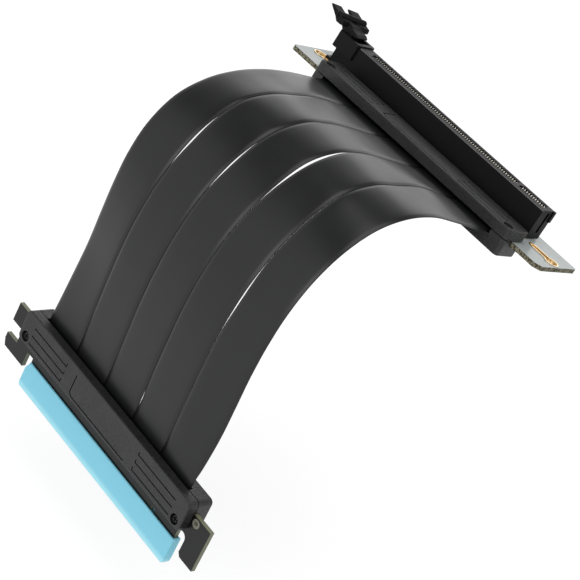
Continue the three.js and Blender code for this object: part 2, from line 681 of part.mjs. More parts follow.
// The ribbons lie side by side. These six lines are their edges, from the latch side to the
// bracket side: each rises from the plug, arches over and runs down into the slot end.
const ribbonEdges = [
  [
    [0.0, 43.6, 20.9], [0.3, 43.6, 32.7], [0.9, 43.7, 44.5], [1.3, 43.8, 56.3], [0.9, 43.9, 68.0],
    [0.5, 43.9, 79.8], [1.1, 44.1, 91.6], [3.9, 44.3, 103.0], [10.4, 44.6, 112.8], [20.4, 45.0, 118.7],
    [31.9, 45.5, 121.4], [43.6, 45.9, 121.9], [55.4, 46.3, 120.8], [67.0, 46.9, 118.7],
    [75.4, 47.5, 117.2],
  ],
  [
    [0.0, 27.0, 20.9], [-0.2, 27.0, 32.9], [-0.8, 27.1, 44.8], [-1.4, 27.1, 56.8], [-1.6, 27.2, 68.8],
    [-0.8, 27.4, 80.7], [1.4, 27.6, 92.4], [5.5, 27.8, 103.7], [11.8, 28.1, 113.8], [20.9, 28.5, 121.4],
    [32.6, 29.0, 123.8], [44.5, 29.4, 123.2], [56.4, 29.8, 121.9], [68.0, 30.3, 119.0],
    [76.5, 30.9, 117.2],
  ],
  [
    [0.0, 10.5, 20.9], [-0.2, 10.5, 32.9], [-0.9, 10.5, 45.0], [-1.5, 10.6, 57.0], [-1.5, 10.7, 69.0],
    [-0.6, 10.8, 81.0], [1.7, 11.0, 92.8], [5.9, 11.2, 104.1], [12.7, 11.6, 114.0], [22.0, 12.0, 121.5],
    [33.5, 12.5, 124.7], [45.5, 12.9, 124.1], [57.3, 13.3, 121.8], [69.0, 13.8, 118.9],
    [77.6, 14.4, 117.2],
  ],
  [
    [0.0, -6.1, 20.9], [-0.2, -6.1, 33.0], [-0.9, -6.0, 45.1], [-1.4, -6.0, 57.2], [-1.5, -5.9, 69.3],
    [-0.4, -5.7, 81.4], [2.2, -5.5, 93.2], [6.8, -5.3, 104.4], [13.7, -5.0, 114.3], [22.9, -4.6, 122.1],
    [34.5, -4.1, 125.3], [46.5, -3.6, 124.5], [58.3, -3.2, 121.9], [70.0, -2.7, 118.9],
    [78.7, -2.2, 117.2],
  ],
  [
    [0.0, -22.6, 20.9], [-0.2, -22.6, 33.1], [-0.6, -22.6, 45.2], [-0.9, -22.5, 57.4], [-0.7, -22.4, 69.5],
    [0.6, -22.3, 81.6], [3.3, -22.1, 93.5], [7.9, -21.8, 104.7], [14.6, -21.5, 114.8],
    [23.9, -21.1, 122.5], [35.6, -20.6, 125.2], [47.7, -20.1, 124.4], [59.8, -19.7, 123.1],
    [71.3, -19.3, 119.5], [79.9, -18.7, 117.2],
  ],
  [
    [0.0, -39.2, 20.9], [1.1, -39.1, 32.9], [2.1, -39.0, 45.0], [1.8, -39.0, 57.1], [1.5, -38.9, 69.2],
    [2.1, -38.8, 81.4], [4.2, -38.6, 93.3], [8.4, -38.4, 104.6], [15.4, -38.1, 114.5],
    [25.1, -37.6, 121.6], [36.7, -37.1, 124.9], [48.8, -36.6, 124.8], [60.6, -36.3, 122.1],
    [72.3, -35.8, 118.9], [81.0, -35.2, 117.2],
  ],
];
const straightInPlug = 6;       // how far each ribbon stands straight up from its end
const straightInSlot = 7.5;

// One edge line, from the plug board's edge to the slot board's, straight inside both housings
function ribbonEdge(index) {
  const across = (ribbonCount / 2 - index) * ribbonPitch;
  const middle = ribbonEdges[index].slice(1, -1).map((point) => new THREE.Vector3(...point));
  const plugPoint = (z) => new THREE.Vector3(0, ribbonShift + across, z);
  slotEnd.updateMatrix();
  const slotPoint = (z) => new THREE.Vector3(0, slotRibbonMiddle + across, z)
    .applyMatrix4(slotEnd.matrix);
  const plugEndZ = plugBoardTop + ribbonEndGap;
  const slotEndZ = slotBoardInShell + ribbonEndGap;
  return new THREE.CatmullRomCurve3([
    plugPoint(plugEndZ), plugPoint(plugEndZ + straightInPlug), ...middle,
    slotPoint(slotEndZ + straightInSlot), slotPoint(slotEndZ),
  ], false, 'centripetal');
}

// A straight extrusion of unit length, each of its sections moved between the two edge lines
function ribbon(index) {
  const halfThick = ribbonThickness / 2;
  const chamfer = halfThick * 0.6;
  const half = ribbonWidth / 2;
  const section = polygon([
    [-half, -halfThick + chamfer], [-half + chamfer, -halfThick],
    [half - chamfer, -halfThick], [half, -halfThick + chamfer],
    [half, halfThick - chamfer], [half - chamfer, halfThick],
    [-half + chamfer, halfThick], [-half, halfThick - chamfer],
  ]);
  const geometry = new THREE.ExtrudeGeometry(section, {
    depth: 1, steps: ribbonSteps, bevelEnabled: false,
  });
  const latchEdge = ribbonEdge(index);
  const bracketEdge = ribbonEdge(index + 1);
  const position = geometry.attributes.position;
  for (let i = 0; i < position.count; i += 1) {
    const along = Math.min(1, Math.max(0, position.getZ(i)));
    const middle = latchEdge.getPointAt(along).lerp(bracketEdge.getPointAt(along), 0.5);
    const across = latchEdge.getPointAt(along).sub(bracketEdge.getPointAt(along)).normalize();
    const tangent = latchEdge.getTangentAt(along).add(bracketEdge.getTangentAt(along)).normalize();
    const outward = tangent.cross(across).normalize();
    middle.addScaledVector(across, position.getX(i)).addScaledVector(outward, position.getY(i));
    position.setXYZ(i, middle.x, middle.y, middle.z);
  }
  geometry.computeVertexNormals();
  return geometry;
}

const riser = new THREE.Group();
riser.add(plug, slotEnd);
for (let index = 0; index < ribbonCount; index += 1) {
  add(riser, `ribbon_${index + 1}`, ribbon(index), finish.ribbon);
}

export default riser;
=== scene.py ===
"""A riser cable for a graphics card: a card-edge plug and a long slot joined by five flat ribbons."""
import math

import bmesh
import bpy
from mathutils import Euler, Matrix, Vector


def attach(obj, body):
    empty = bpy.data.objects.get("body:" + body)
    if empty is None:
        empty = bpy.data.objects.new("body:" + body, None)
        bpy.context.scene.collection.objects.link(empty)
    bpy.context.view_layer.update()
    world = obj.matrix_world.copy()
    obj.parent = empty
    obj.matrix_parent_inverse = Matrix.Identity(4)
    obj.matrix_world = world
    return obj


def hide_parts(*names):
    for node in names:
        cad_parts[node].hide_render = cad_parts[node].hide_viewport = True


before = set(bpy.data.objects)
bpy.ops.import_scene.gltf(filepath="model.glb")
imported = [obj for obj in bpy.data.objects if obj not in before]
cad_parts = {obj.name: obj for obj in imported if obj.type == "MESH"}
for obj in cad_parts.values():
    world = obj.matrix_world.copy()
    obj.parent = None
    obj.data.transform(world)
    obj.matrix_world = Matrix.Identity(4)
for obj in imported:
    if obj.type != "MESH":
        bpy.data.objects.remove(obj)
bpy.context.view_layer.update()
scene = bpy.context.scene
scene.view_settings.view_transform = "Standard"

# Camera
# A long lens a little above the cable, in front of the plug and to its left.
# Its place was fitted to the known sizes of the card edge and the slot.
camera = bpy.data.objects.new("camera", bpy.data.cameras.new("camera"))
scene.collection.objects.link(camera)
camera.data.sensor_width = 36
camera.data.lens = 145.31
camera.data.clip_start = 0.05
camera_right = Vector((0.7141, -0.5721, 0.4034)).normalized()
camera_up = Vector((0.0535, 0.6192, 0.7834)).normalized()
camera_back = camera_right.cross(camera_up)
camera.matrix_world = Matrix.Translation((-0.47362, -0.40308, 0.42242)) @ Matrix(
    (camera_right, camera_up, camera_back)).transposed().to_4x4()
scene.camera = camera

# Ribbons
# Five flat shielded cables in smooth black jackets, side by side. Each is clamped in the plug's
# housing, rises, arches over by its own stiffness and goes down into the slot end's housing.
# The six lines are the ribbons' edges from the latch side to the bracket side, in millimetres.
MM = 0.001
RIBBON_THICKNESS = 0.0010
RIBBON_SEAM = 0.00005
ribbon_edges = [
    [
        [0.0, 43.6, 20.9], [0.0, 43.6, 26.9],
        [0.3, 43.6, 32.7], [0.9, 43.7, 44.5], [1.3, 43.8, 56.3], [0.9, 43.9, 68.0],
        [0.5, 43.9, 79.8], [1.1, 44.1, 91.6], [3.9, 44.3, 103.0], [10.4, 44.6, 112.8],
        [20.4, 45.0, 118.7], [31.9, 45.5, 121.4], [43.6, 45.9, 121.9], [55.4, 46.3, 120.8],
        [67.0, 46.9, 118.7], [71.2, 47.2, 117.9], [78.6, 47.7, 116.7],
    ],
    [
        [0.0, 27.0, 20.9], [0.0, 27.0, 26.9],
        [-0.2, 27.0, 32.9], [-0.8, 27.1, 44.8], [-1.4, 27.1, 56.8], [-1.6, 27.2, 68.8],
        [-0.8, 27.4, 80.7], [1.4, 27.6, 92.4], [5.5, 27.8, 103.7], [11.8, 28.1, 113.8],
        [20.9, 28.5, 121.4], [32.6, 29.0, 123.8], [44.5, 29.4, 123.2], [56.4, 29.8, 121.9],
        [68.0, 30.3, 119.0], [72.3, 30.6, 117.9], [79.7, 31.1, 116.7],
    ],
    [
        [0.0, 10.5, 20.9], [0.0, 10.5, 26.9],
        [-0.2, 10.5, 32.9], [-0.9, 10.5, 45.0], [-1.5, 10.6, 57.0], [-1.5, 10.7, 69.0],
        [-0.6, 10.8, 81.0], [1.7, 11.0, 92.8], [5.9, 11.2, 104.1], [12.7, 11.6, 114.0],
        [22.0, 12.0, 121.5], [33.5, 12.5, 124.7], [45.5, 12.9, 124.1], [57.3, 13.3, 121.8],
        [69.0, 13.8, 118.9], [73.4, 14.1, 117.9], [80.8, 14.6, 116.7],
    ],
    [
        [0.0, -6.1, 20.9], [0.0, -6.1, 26.9],
        [-0.2, -6.1, 33.0], [-0.9, -6.0, 45.1], [-1.4, -6.0, 57.2], [-1.5, -5.9, 69.3],
        [-0.4, -5.7, 81.4], [2.2, -5.5, 93.2], [6.8, -5.3, 104.4], [13.7, -5.0, 114.3],
        [22.9, -4.6, 122.1], [34.5, -4.1, 125.3], [46.5, -3.6, 124.5], [58.3, -3.2, 121.9],
        [70.0, -2.7, 118.9], [74.5, -2.5, 117.9], [81.9, -2.0, 116.7],
    ],
    [
        [0.0, -22.6, 20.9], [0.0, -22.6, 26.9],
        [-0.2, -22.6, 33.1], [-0.6, -22.6, 45.2], [-0.9, -22.5, 57.4], [-0.7, -22.4, 69.5],
        [0.6, -22.3, 81.6], [3.3, -22.1, 93.5], [7.9, -21.8, 104.7], [14.6, -21.5, 114.8],
        [23.9, -21.1, 122.5], [35.6, -20.6, 125.2], [47.7, -20.1, 124.4], [59.8, -19.7, 123.1],
        [71.3, -19.3, 119.5], [75.7, -19.0, 117.9], [83.1, -18.5, 116.7],
    ],
    [
        [0.0, -39.2, 20.9], [0.0, -39.2, 26.9],
        [1.1, -39.1, 32.9], [2.1, -39.0, 45.0], [1.8, -39.0, 57.1], [1.5, -38.9, 69.2],
        [2.1, -38.8, 81.4], [4.2, -38.6, 93.3], [8.4, -38.4, 104.6], [15.4, -38.1, 114.5],
        [25.1, -37.6, 121.6], [36.7, -37.1, 124.9], [48.8, -36.6, 124.8], [60.6, -36.3, 122.1],
        [72.3, -35.8, 118.9], [76.8, -35.5, 117.9], [84.2, -35.0, 116.7],
    ],
]
# Where two neighbours part a little and let the light through: which edge, where along it, over
# what stretch of it, and how far in millimetres
ribbon_partings = [(1, 0.53, 0.05, 0.45), (2, 0.545, 0.05, 0.38), (3, 0.65, 0.08, 0.75),
                   (3, 0.075, 0.02, 0.25), (4, 0.385, 0.06, 0.36)]
LEAST_PARTING = 0.08
OTHER_SIDE_SHARE = 0.3
RIBBON_ROWS = 150
CURVE_STEPS = 24
EDGE_ROUNDING = 0.15
EDGE_FALL = 0.45
UV_APART = 0.03


def smooth_line(points, count):
    """Evenly spaced points on the smooth curve through these points."""
    given = [Vector(point) * MM for point in points]
    given = [2 * given[0] - given[1]] + given + [2 * given[-1] - given[-2]]
    dense = []
    for before, start, end, after in zip(given, given[1:], given[2:], given[3:]):
        at_start = math.sqrt((start - before).length)
        at_end = at_start + math.sqrt((end - start).length)
        at_after = at_end + math.sqrt((after - end).length)
        for step in range(CURVE_STEPS):
            share = step / CURVE_STEPS
            at = at_start + (at_end - at_start) * share
            arriving = before.lerp(start, at / at_start)
            between = start.lerp(end, share)
            leaving = end.lerp(after, (at - at_end) / (at_after - at_end))
            bent_in = arriving.lerp(between, at / at_end)
            bent_out = between.lerp(leaving, (at - at_start) / (at_after - at_start))
            dense.append(bent_in.lerp(bent_out, share))
    dense.append(given[-2])
    reach = [0.0]
    for start, end in zip(dense, dense[1:]):
        reach.append(reach[-1] + (end - start).length)
    even = []
    step = 0
    for number in range(count):
        want = reach[-1] * number / (count - 1)
        while step < len(dense) - 2 and reach[step + 1] < want:
            step += 1
        share = (want - reach[step]) / (reach[step + 1] - reach[step])
        even.append(dense[step].lerp(dense[step + 1], share))
    return even


def parting(edge, along):
    """How far a ribbon's edge draws back from its neighbour there."""
    total = 0.0
    for which, centre, stretch, amount in ribbon_partings:
        if which == edge:
            total += amount * math.exp(-((along - centre) / stretch) ** 2)
    return max(0.0, total - LEAST_PARTING) * MM


def rounded_strip_section():
    """Round a flat strip: where across it, how far past its width, and how high."""
    half = RIBBON_THICKNESS / 2
    top = []
    for side in (-1, -0.985, -0.96, -0.92, -0.85, -0.5, 0, 0.5, 0.85, 0.92, 0.96, 0.985, 1):
        fall = max(0.0, abs(side) - 1 + EDGE_ROUNDING) / EDGE_ROUNDING
        top.append((side, half * (1 - EDGE_FALL * fall ** 2)))
    edge = top[-1][1]
    turns = [math.radians(turn) for turn in (30, 60, 90, 120, 150)]
    section = [(side, 0.0, height) for side, height in top]
    section += [(1.0, half * math.sin(turn), edge * math.cos(turn)) for turn in turns]
    section += [(side, 0.0, -height) for side, height in reversed(top)]
    section += [(-1.0, -half * math.sin(turn), -edge * math.cos(turn)) for turn in turns]
    return section


def node(tree, kind, **inputs):
    """A shader node with some of its inputs or settings filled in."""
    made = tree.nodes.new(kind)
    for name, value in inputs.items():
        if hasattr(made, name):
            setattr(made, name, value)
        else:
            made.inputs[name.replace("_", " ")].default_value = value
    return made


def new_material(name, **sockets):
    """A material whose shader has these plain values; returns it, its tree and its shader."""
    material = bpy.data.materials.new(name)
    material.use_nodes = True
    shader = material.node_tree.nodes["Principled BSDF"]
    for socket, value in sockets.items():
        shader.inputs[socket.replace("_", " ")].default_value = value
    return material, material.node_tree, shader


def surface_group(name, scale, detail, stretch):
    """A node group: an even noise over the surface, as a value from 0 to 1."""
    group = bpy.data.node_groups.new(name, "ShaderNodeTree")
    group.interface.new_socket("Vector", in_out="INPUT", socket_type="NodeSocketVector")
    group.interface.new_socket("Scale", in_out="INPUT", socket_type="NodeSocketFloat")
    group.interface.new_socket("Value", in_out="OUTPUT", socket_type="NodeSocketFloat")
    start = group.nodes.new("NodeGroupInput")
    end = group.nodes.new("NodeGroupOutput")
    squeeze = node(group, "ShaderNodeMapping")
    squeeze.inputs["Scale"].default_value = stretch
    noise = node(group, "ShaderNodeTexNoise", Detail=detail, Scale=scale)
    group.links.new(start.outputs["Vector"], squeeze.inputs["Vector"])
    group.links.new(squeeze.outputs["Vector"], noise.inputs["Vector"])
    group.links.new(start.outputs["Scale"], noise.inputs["Scale"])
    group.links.new(noise.outputs["Fac"], end.inputs["Value"])
    return group


even_noise = surface_group("even noise", 1000, 3.0, (1, 1, 1))
lengthwise_noise = surface_group("lengthwise noise", 1000, 2.0, (1, 0.06, 1))


def noise_value(tree, group, coordinates, scale):
    """One of the noise groups placed in a material, in marks per metre."""
    placed = tree.nodes.new("ShaderNodeGroup")
    placed.node_tree = group
    placed.inputs["Scale"].default_value = scale
    tree.links.new(coordinates, placed.inputs["Vector"])
    return placed.outputs["Value"]


def spread(tree, value, low, high, out_low, out_high):
    """The value between low and high, spread over another range."""
    ramp = node(tree, "ShaderNodeMapRange")
    ends = {"From Min": low, "From Max": high, "To Min": out_low, "To Max": out_high}
    for socket, end in ends.items():
        ramp.inputs[socket].default_value = end
    tree.links.new(value, ramp.inputs["Value"])
    return ramp.outputs["Result"]


def blended(tree, mask, first, second):
    """The first colour where the mask is 0 and the second where it is 1."""
    mix = node(tree, "ShaderNodeMix", data_type="RGBA")
    for colour, socket in ((first, mix.inputs[6]), (second, mix.inputs[7])):
        if isinstance(colour, tuple):
            socket.default_value = (*colour, 1)
        else:
            tree.links.new(colour, socket)
    tree.links.new(mask, mix.inputs[0])
    return mix.outputs[2]


def two_tone(tree, shader, mask, first, second):
    """Colours a surface between two tones."""
    tree.links.new(blended(tree, mask, first, second), shader.inputs["Base Color"])


def uneven_gloss(tree, shader, mask, smooth, rough):
    """Lets the roughness vary between two values with an even noise."""
    tree.links.new(spread(tree, mask, 0.3, 0.7, smooth, rough), shader.inputs["Roughness"])


def bumped(tree, shader, height, strength, distance):
    """Raises the surface a little where the height is more."""
    bump = node(tree, "ShaderNodeBump", Strength=strength, Distance=distance)
    tree.links.new(height, bump.inputs["Height"])
    tree.links.new(bump.outputs["Normal"], shader.inputs["Normal"])


# The jacket is extruded, so its faint streaks and waves run lengthwise
ribbon_black, tree, shader = new_material("ribbon jacket", Specular_IOR_Level=0.45)
jacket_uv = node(tree, "ShaderNodeUVMap", uv_map="along").outputs["UV"]
streaks = noise_value(tree, lengthwise_noise, jacket_uv, 900)
cloud = noise_value(tree, even_noise, jacket_uv, 60)
two_tone(tree, shader, cloud, (0.0016, 0.0018, 0.002), (0.003, 0.0033, 0.0036))
uneven_gloss(tree, shader, cloud, 0.31, 0.37)
bumped(tree, shader, streaks, 0.03, 0.0002)

strip = rounded_strip_section()
for number in range(5):
    left = smooth_line(ribbon_edges[number], RIBBON_ROWS)
    right = smooth_line(ribbon_edges[number + 1], RIBBON_ROWS)
    middle = [a.lerp(b, 0.5) for a, b in zip(left, right)]
    verts, uvs = [], []
    travelled = 0.0
    for row in range(RIBBON_ROWS):
        along = row / (RIBBON_ROWS - 1)
        across = left[row] - right[row]
        wide = across.length
        across.normalize()
        ahead = middle[min(row + 1, RIBBON_ROWS - 1)] - middle[max(row - 1, 0)]
        outward = ahead.cross(across).normalized()
        if row:
            travelled += (middle[row] - middle[row - 1]).length
        half = (wide - RIBBON_SEAM - RIBBON_THICKNESS) / 2
        left_half = half - parting(number, along)
        right_half = half - parting(number + 1, along) * OTHER_SIDE_SHARE
        for side, beyond, height in strip:
            reach = side * (left_half if side > 0 else right_half) + beyond
            verts.append(middle[row] + across * reach + outward * height)
            uvs.append((reach + number * UV_APART, travelled))
    count = len(strip)
    faces = []
    for row in range(RIBBON_ROWS - 1):
        for corner in range(count):
            here = row * count + corner
            after = row * count + (corner + 1) % count
            faces.append((here, after, after + count, here + count))
    faces.append(tuple(reversed(range(count))))
    faces.append(tuple(range((RIBBON_ROWS - 1) * count, RIBBON_ROWS * count)))
    mesh = bpy.data.meshes.new(f"ribbon_{number + 1}_jacket")
    mesh.from_pydata(verts, [], faces)
    mesh.materials.append(ribbon_black)
    layer = mesh.uv_layers.new(name="along")
    for loop in mesh.loops:
        layer.data[loop.index].uv = uvs[loop.vertex_index]
    mesh.polygons.foreach_set("use_smooth", [len(face.vertices) == 4 for face in mesh.polygons])
    jacket = bpy.data.objects.new(mesh.name, mesh)
    scene.collection.objects.link(jacket)
    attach(jacket, "riser")
    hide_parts(f"ribbon_{number + 1}")

# Housings
# Each end has two moulded halves in black plastic with a spark-eroded grain, screwed together
# round the board and the ribbons. The grooves in the faces that show are moulded in.
MOULDED_EDGE = 0.00015
shell_black, tree, shader = new_material("housing plastic", Specular_IOR_Level=0.45)


def on_piece(tree):
    """The place on the piece itself, in metres."""
    return node(tree, "ShaderNodeTexCoord").outputs["Object"]


place = on_piece(tree)
grain = noise_value(tree, even_noise, place, 2300)
patches = noise_value(tree, even_noise, place, 120)
pits = spread(tree, grain, 0.35, 0.65, 0.0, 1.0)
two_tone(tree, shader, pits, (0.002, 0.002, 0.0025), (0.022, 0.022, 0.024))
uneven_gloss(tree, shader, patches, 0.4, 0.52)
bumped(tree, shader, grain, 0.8, 0.0003)


def soften_edges(piece, width, least_turn):
    """Rounds the edges where a surface turns by more than this many degrees."""
    bevel = piece.modifiers.new("soft edges", "BEVEL")
    bevel.width = width
    bevel.segments = 2
    bevel.limit_method = "ANGLE"
    bevel.angle_limit = math.radians(least_turn)


def dress(node_name, material, rounding=0.0):
    """Gives a carried-over piece its surface and softly rounded edges."""
    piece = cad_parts[node_name]
    piece.data.materials.clear()
    piece.data.materials.append(material)
    if rounding:
        soften_edges(piece, rounding, 35)


for name in ("plug_front_shell", "plug_back_shell", "slot_upper_shell", "slot_lower_shell"):
    dress(name, shell_black, MOULDED_EDGE)

# Housing screws
# Four black pan-head screws with a cross recess hold the housings together.
SCREW_EDGE = 0.0001
screw_black, tree, shader = new_material("screw steel", Metallic=0.9, Roughness=0.38)
scuffs = spread(tree, noise_value(tree, even_noise, on_piece(tree), 1400), 0.45, 0.7, 0.0, 1.0)
two_tone(tree, shader, scuffs, (0.02, 0.02, 0.022), (0.07, 0.07, 0.07))
for end in ("plug", "slot"):
    for side in ("latch", "bracket"):
        dress(f"{end}_screw_{side}_side", screw_black, SCREW_EDGE)

# Plug board
# A laminate board in black solder mask. The laminate shows pale and greenish along its cut edges,
# the contact fingers are plated with gold, and the hole in the tab has a tinned ring round it.
# The hole's place along the board and up it, in metres
TAB_HOLE = (-0.0478, 0.0184)
TAB_RING = 0.0016
FINGER_FACE = 0.00083
FLAT_ON = 0.7
board_black, tree, shader = new_material("plug board mask", Roughness=0.3, Specular_IOR_Level=0.3)


def parts_of(tree, vector):
    """A place or direction split into its three parts."""
    split = node(tree, "ShaderNodeSeparateXYZ")
    tree.links.new(vector, split.inputs["Vector"])
    return [split.outputs[part] for part in "XYZ"]


def figure(tree, operation, first, second=None):
    """One sum, product or comparison of a value with a number or with another value."""
    step = node(tree, "ShaderNodeMath", operation=operation)
    tree.links.new(first, step.inputs[0])
    if isinstance(second, (int, float)):
        step.inputs[1].default_value = second
    elif second is not None:
        tree.links.new(second, step.inputs[1])
    return step.outputs["Value"]


def reaches(tree, value, least):
    """1 where a value is further than this from zero, either way."""
    return figure(tree, "GREATER_THAN", figure(tree, "ABSOLUTE", value), least)


place = on_piece(tree)
through_board, along_edge, height = parts_of(tree, place)
facing = parts_of(tree, node(tree, "ShaderNodeTexCoord").outputs["Normal"])
fibres = noise_value(tree, even_noise, place, 1800)
weave = noise_value(tree, even_noise, place, 300)
laminate = blended(tree, fibres, (0.10, 0.11, 0.06), (0.24, 0.24, 0.16))
mask = blended(tree, weave, (0.0045, 0.005, 0.0045), (0.008, 0.0085, 0.008))
aside = figure(tree, "SUBTRACT", along_edge, TAB_HOLE[0])
above = figure(tree, "SUBTRACT", height, TAB_HOLE[1])
from_hole = figure(tree, "SQRT", figure(tree, "ADD", figure(tree, "MULTIPLY", aside, aside),
                                        figure(tree, "MULTIPLY", above, above)))
ring = figure(tree, "LESS_THAN", from_hole, TAB_RING)
raised = reaches(tree, through_board, FINGER_FACE)
colour = blended(tree, reaches(tree, facing[0], FLAT_ON), laminate, mask)
colour = blended(tree, ring, colour, (0.20, 0.20, 0.16))
two_tone(tree, shader, raised, colour, (0.80, 0.52, 0.20))
tree.links.new(raised, shader.inputs["Metallic"])
dress("plug_board", board_black)

# Finger cap
# A thin soft cap in light blue plastic, pushed over the gold fingers to protect them. Its solid
# bottom bead is coloured lighter, a painted highlight for the light it catches.
CAP_EDGE = 0.00012
BEAD_LOW = -0.001
BEAD_TOP = 0.0006
cap_blue, tree, shader = new_material("cap plastic", Roughness=0.45, Specular_IOR_Level=0.4)
place = on_piece(tree)
# Painted highlight: the bottom bead is coloured lighter for the light it catches
painted_bead_highlight = spread(tree, parts_of(tree, place)[2], BEAD_LOW, BEAD_TOP, 1.0, 0.0)
two_tone(tree, shader, painted_bead_highlight, (0.25, 0.68, 0.86), (0.42, 0.86, 0.99))
bumped(tree, shader, noise_value(tree, even_noise, place, 500), 0.1, 0.0002)
dress("finger_cap", cap_blue, CAP_EDGE)

# Slot board
# A board with a glossy mask whose pale grey-blue face colour is a painted reflection of the light, with
# speckled olive laminate along its edges.
# The slot end leans, so its surfaces are placed in its own frame: up, along and to the ribbons.
SLOT_PLACE = (0.08823, 0.0059, 0.11562)
SLOT_LEAN = 9.34
SLOT_SWING = 3.88
SLOT_TURN = (0.0, math.radians(SLOT_LEAN - 90), math.radians(SLOT_SWING))
SLOT_SPACE = Matrix.LocRotScale(Vector(SLOT_PLACE), Euler(SLOT_TURN), None)


def slot_frame(tree, source):
    """The place or direction in the slot end's own frame, whole and split into its parts."""
    turned = node(tree, "ShaderNodeMapping", vector_type="TEXTURE")
    if source == "Object":
        turned.inputs["Location"].default_value = SLOT_PLACE
    turned.inputs["Rotation"].default_value = SLOT_TURN
    tree.links.new(node(tree, "ShaderNodeTexCoord").outputs[source], turned.inputs["Vector"])
    return turned.outputs["Vector"], parts_of(tree, turned.outputs["Vector"])


slot_board_mask, tree, shader = new_material("slot board mask", Specular_IOR_Level=0.2)
place, _ = slot_frame(tree, "Object")
_, facing = slot_frame(tree, "Normal")
face_on = reaches(tree, facing[0], FLAT_ON)
haze = noise_value(tree, even_noise, place, 90)
specks = spread(tree, noise_value(tree, even_noise, place, 1500), 0.42, 0.6, 0.0, 1.0)
# Painted reflection: the faces are coloured pale grey-blue for the surround that the glossy mask
# reflects
painted_reflection_face = blended(tree, haze, (0.30, 0.34, 0.34), (0.40, 0.43, 0.42))
laminate = blended(tree, specks, (0.045, 0.036, 0.018), (0.25, 0.24, 0.17))
two_tone(tree, shader, face_on, laminate, painted_reflection_face)
tree.links.new(spread(tree, face_on, 0.0, 1.0, 0.6, 0.3), shader.inputs["Roughness"])
dress("slot_board", slot_board_mask)

# Keyhole plating
# Gold plating lines each keyhole of the slot board and makes a thin rim on both faces.
plating_gold, tree, shader = new_material("keyhole gold", Metallic=1.0, Roughness=0.24)
tone = noise_value(tree, even_noise, on_piece(tree), 700)
two_tone(tree, shader, tone, (0.72, 0.50, 0.24), (0.92, 0.76, 0.50))
for name in ("keyhole_plating_latch_side", "keyhole_plating_bracket_side"):
    dress(name, plating_gold)

# Slot connector
# The slot is moulded in a fine matte black plastic and soldered to the slot board. Its metal
# springs stand in the cavities of its mouth, and the mouth's bevelled edge has a painted highlight.
# From here to the latch, lengths are millimetres in the slot end's frame.
MOUTH_MIDDLE = 0.25
MOUTH_ACROSS = -8.4
CAVITY_FLOOR = 4.6
CAVITY_TOP = 10.75
CAVITY_REACH = 2.32
CAVITIES_END = 42.5
SPRING_SHARE = 0.18
RIM_HIGHLIGHT_FROM = 11.42
RIM_HIGHLIGHT_REACH = 3.42
RIM_HIGHLIGHT_END = 46.2


def within(tree, value, middle, reach):
    """1 where a value is nearer than this to the middle, either way."""
    away = figure(tree, "ABSOLUTE", figure(tree, "SUBTRACT", value, middle))
    return figure(tree, "LESS_THAN", away, reach)


def all_of(tree, *masks):
    """1 where all of these masks are 1."""
    product = masks[0]
    for mask in masks[1:]:
        product = figure(tree, "MULTIPLY", product, mask)
    return product


slot_black, tree, shader = new_material("slot plastic", Specular_IOR_Level=0.14)
fine = noise_value(tree, even_noise, on_piece(tree), 3500)
plastic = blended(tree, fine, (0.0025, 0.0025, 0.003), (0.006, 0.006, 0.0065))
bumped(tree, shader, fine, 0.25, 0.0001)
_, (up, along, across) = slot_frame(tree, "Object")
# A spring stands in the middle of every millimetre
pitches = figure(tree, "MULTIPLY", figure(tree, "ADD", along, 0.5 - MOUTH_MIDDLE * MM), 1 / MM)
spring = all_of(
    tree,
    figure(tree, "LESS_THAN", up, CAVITY_TOP * MM),
    figure(tree, "GREATER_THAN", up, CAVITY_FLOOR * MM),
    within(tree, across, MOUTH_ACROSS * MM, CAVITY_REACH * MM),
    within(tree, figure(tree, "FRACT", pitches), 0.5, SPRING_SHARE),
    within(tree, along, 0.0, CAVITIES_END * MM))
from_middle = figure(tree, "SUBTRACT", across, MOUTH_ACROSS * MM)
# Painted highlight: the bevelled edge of the mouth is coloured light grey where light catches it
rim_highlight_mask = all_of(
    tree,
    figure(tree, "GREATER_THAN", up, RIM_HIGHLIGHT_FROM * MM),
    reaches(tree, from_middle, RIM_HIGHLIGHT_REACH * MM),
    within(tree, along, 0.0, RIM_HIGHLIGHT_END * MM))
two_tone(tree, shader, spring, blended(tree, rim_highlight_mask, plastic, (0.11, 0.11, 0.11)), (0.85, 0.78, 0.62))
tree.links.new(spread(tree, spring, 0.0, 1.0, 0.0, 0.4), shader.inputs["Metallic"])
tree.links.new(spread(tree, spring, 0.0, 1.0, 0.5, 0.35), shader.inputs["Roughness"])
dress("slot_connector", slot_black)

# Contact springs
# Two rows of bent leaf springs lean into the mouth from the cavities, as in the connector that
# the card edge slides into. Their tips bend back outwards a little below the rim.
MOUTH_RIM = 11.8
KEY_WALL = MOUTH_MIDDLE - 30
KEY_TO_SPRING = 1.5
SHORT_ROW = 11
LONG_ROW = 71
LEAF_WIDTH = 0.4
LEAF_LINE = [(-6.4, 2.15), (-3.0, 1.5), (-1.1, 0.8), (-0.7, 0.78), (-0.3, 1.15)]
LEAF_THICKNESS = 0.16


def prisms(name, shapes, material):
    """One piece made of closed prisms, each given as its two matching end outlines."""
    verts, faces = [], []
    for near, far in shapes:
        first, count = len(verts), len(near)
        verts += [SLOT_SPACE @ (Vector(point) * MM) for point in near + far]
        faces.append(tuple(range(first + count - 1, first - 1, -1)))
        faces.append(tuple(range(first + count, first + 2 * count)))
        for corner in range(count):
            after = (corner + 1) % count
            faces.append((first + corner, first + after, first + count + after, first + count + corner))
    mesh = bpy.data.meshes.new(name)
    mesh.from_pydata(verts, [], faces)
    outward = bmesh.new()
    outward.from_mesh(mesh)
    bmesh.ops.recalc_face_normals(outward, faces=outward.faces)
    outward.to_mesh(mesh)
    outward.free()
    mesh.materials.append(material)
    piece = bpy.data.objects.new(name, mesh)
    scene.collection.objects.link(piece)
    return piece


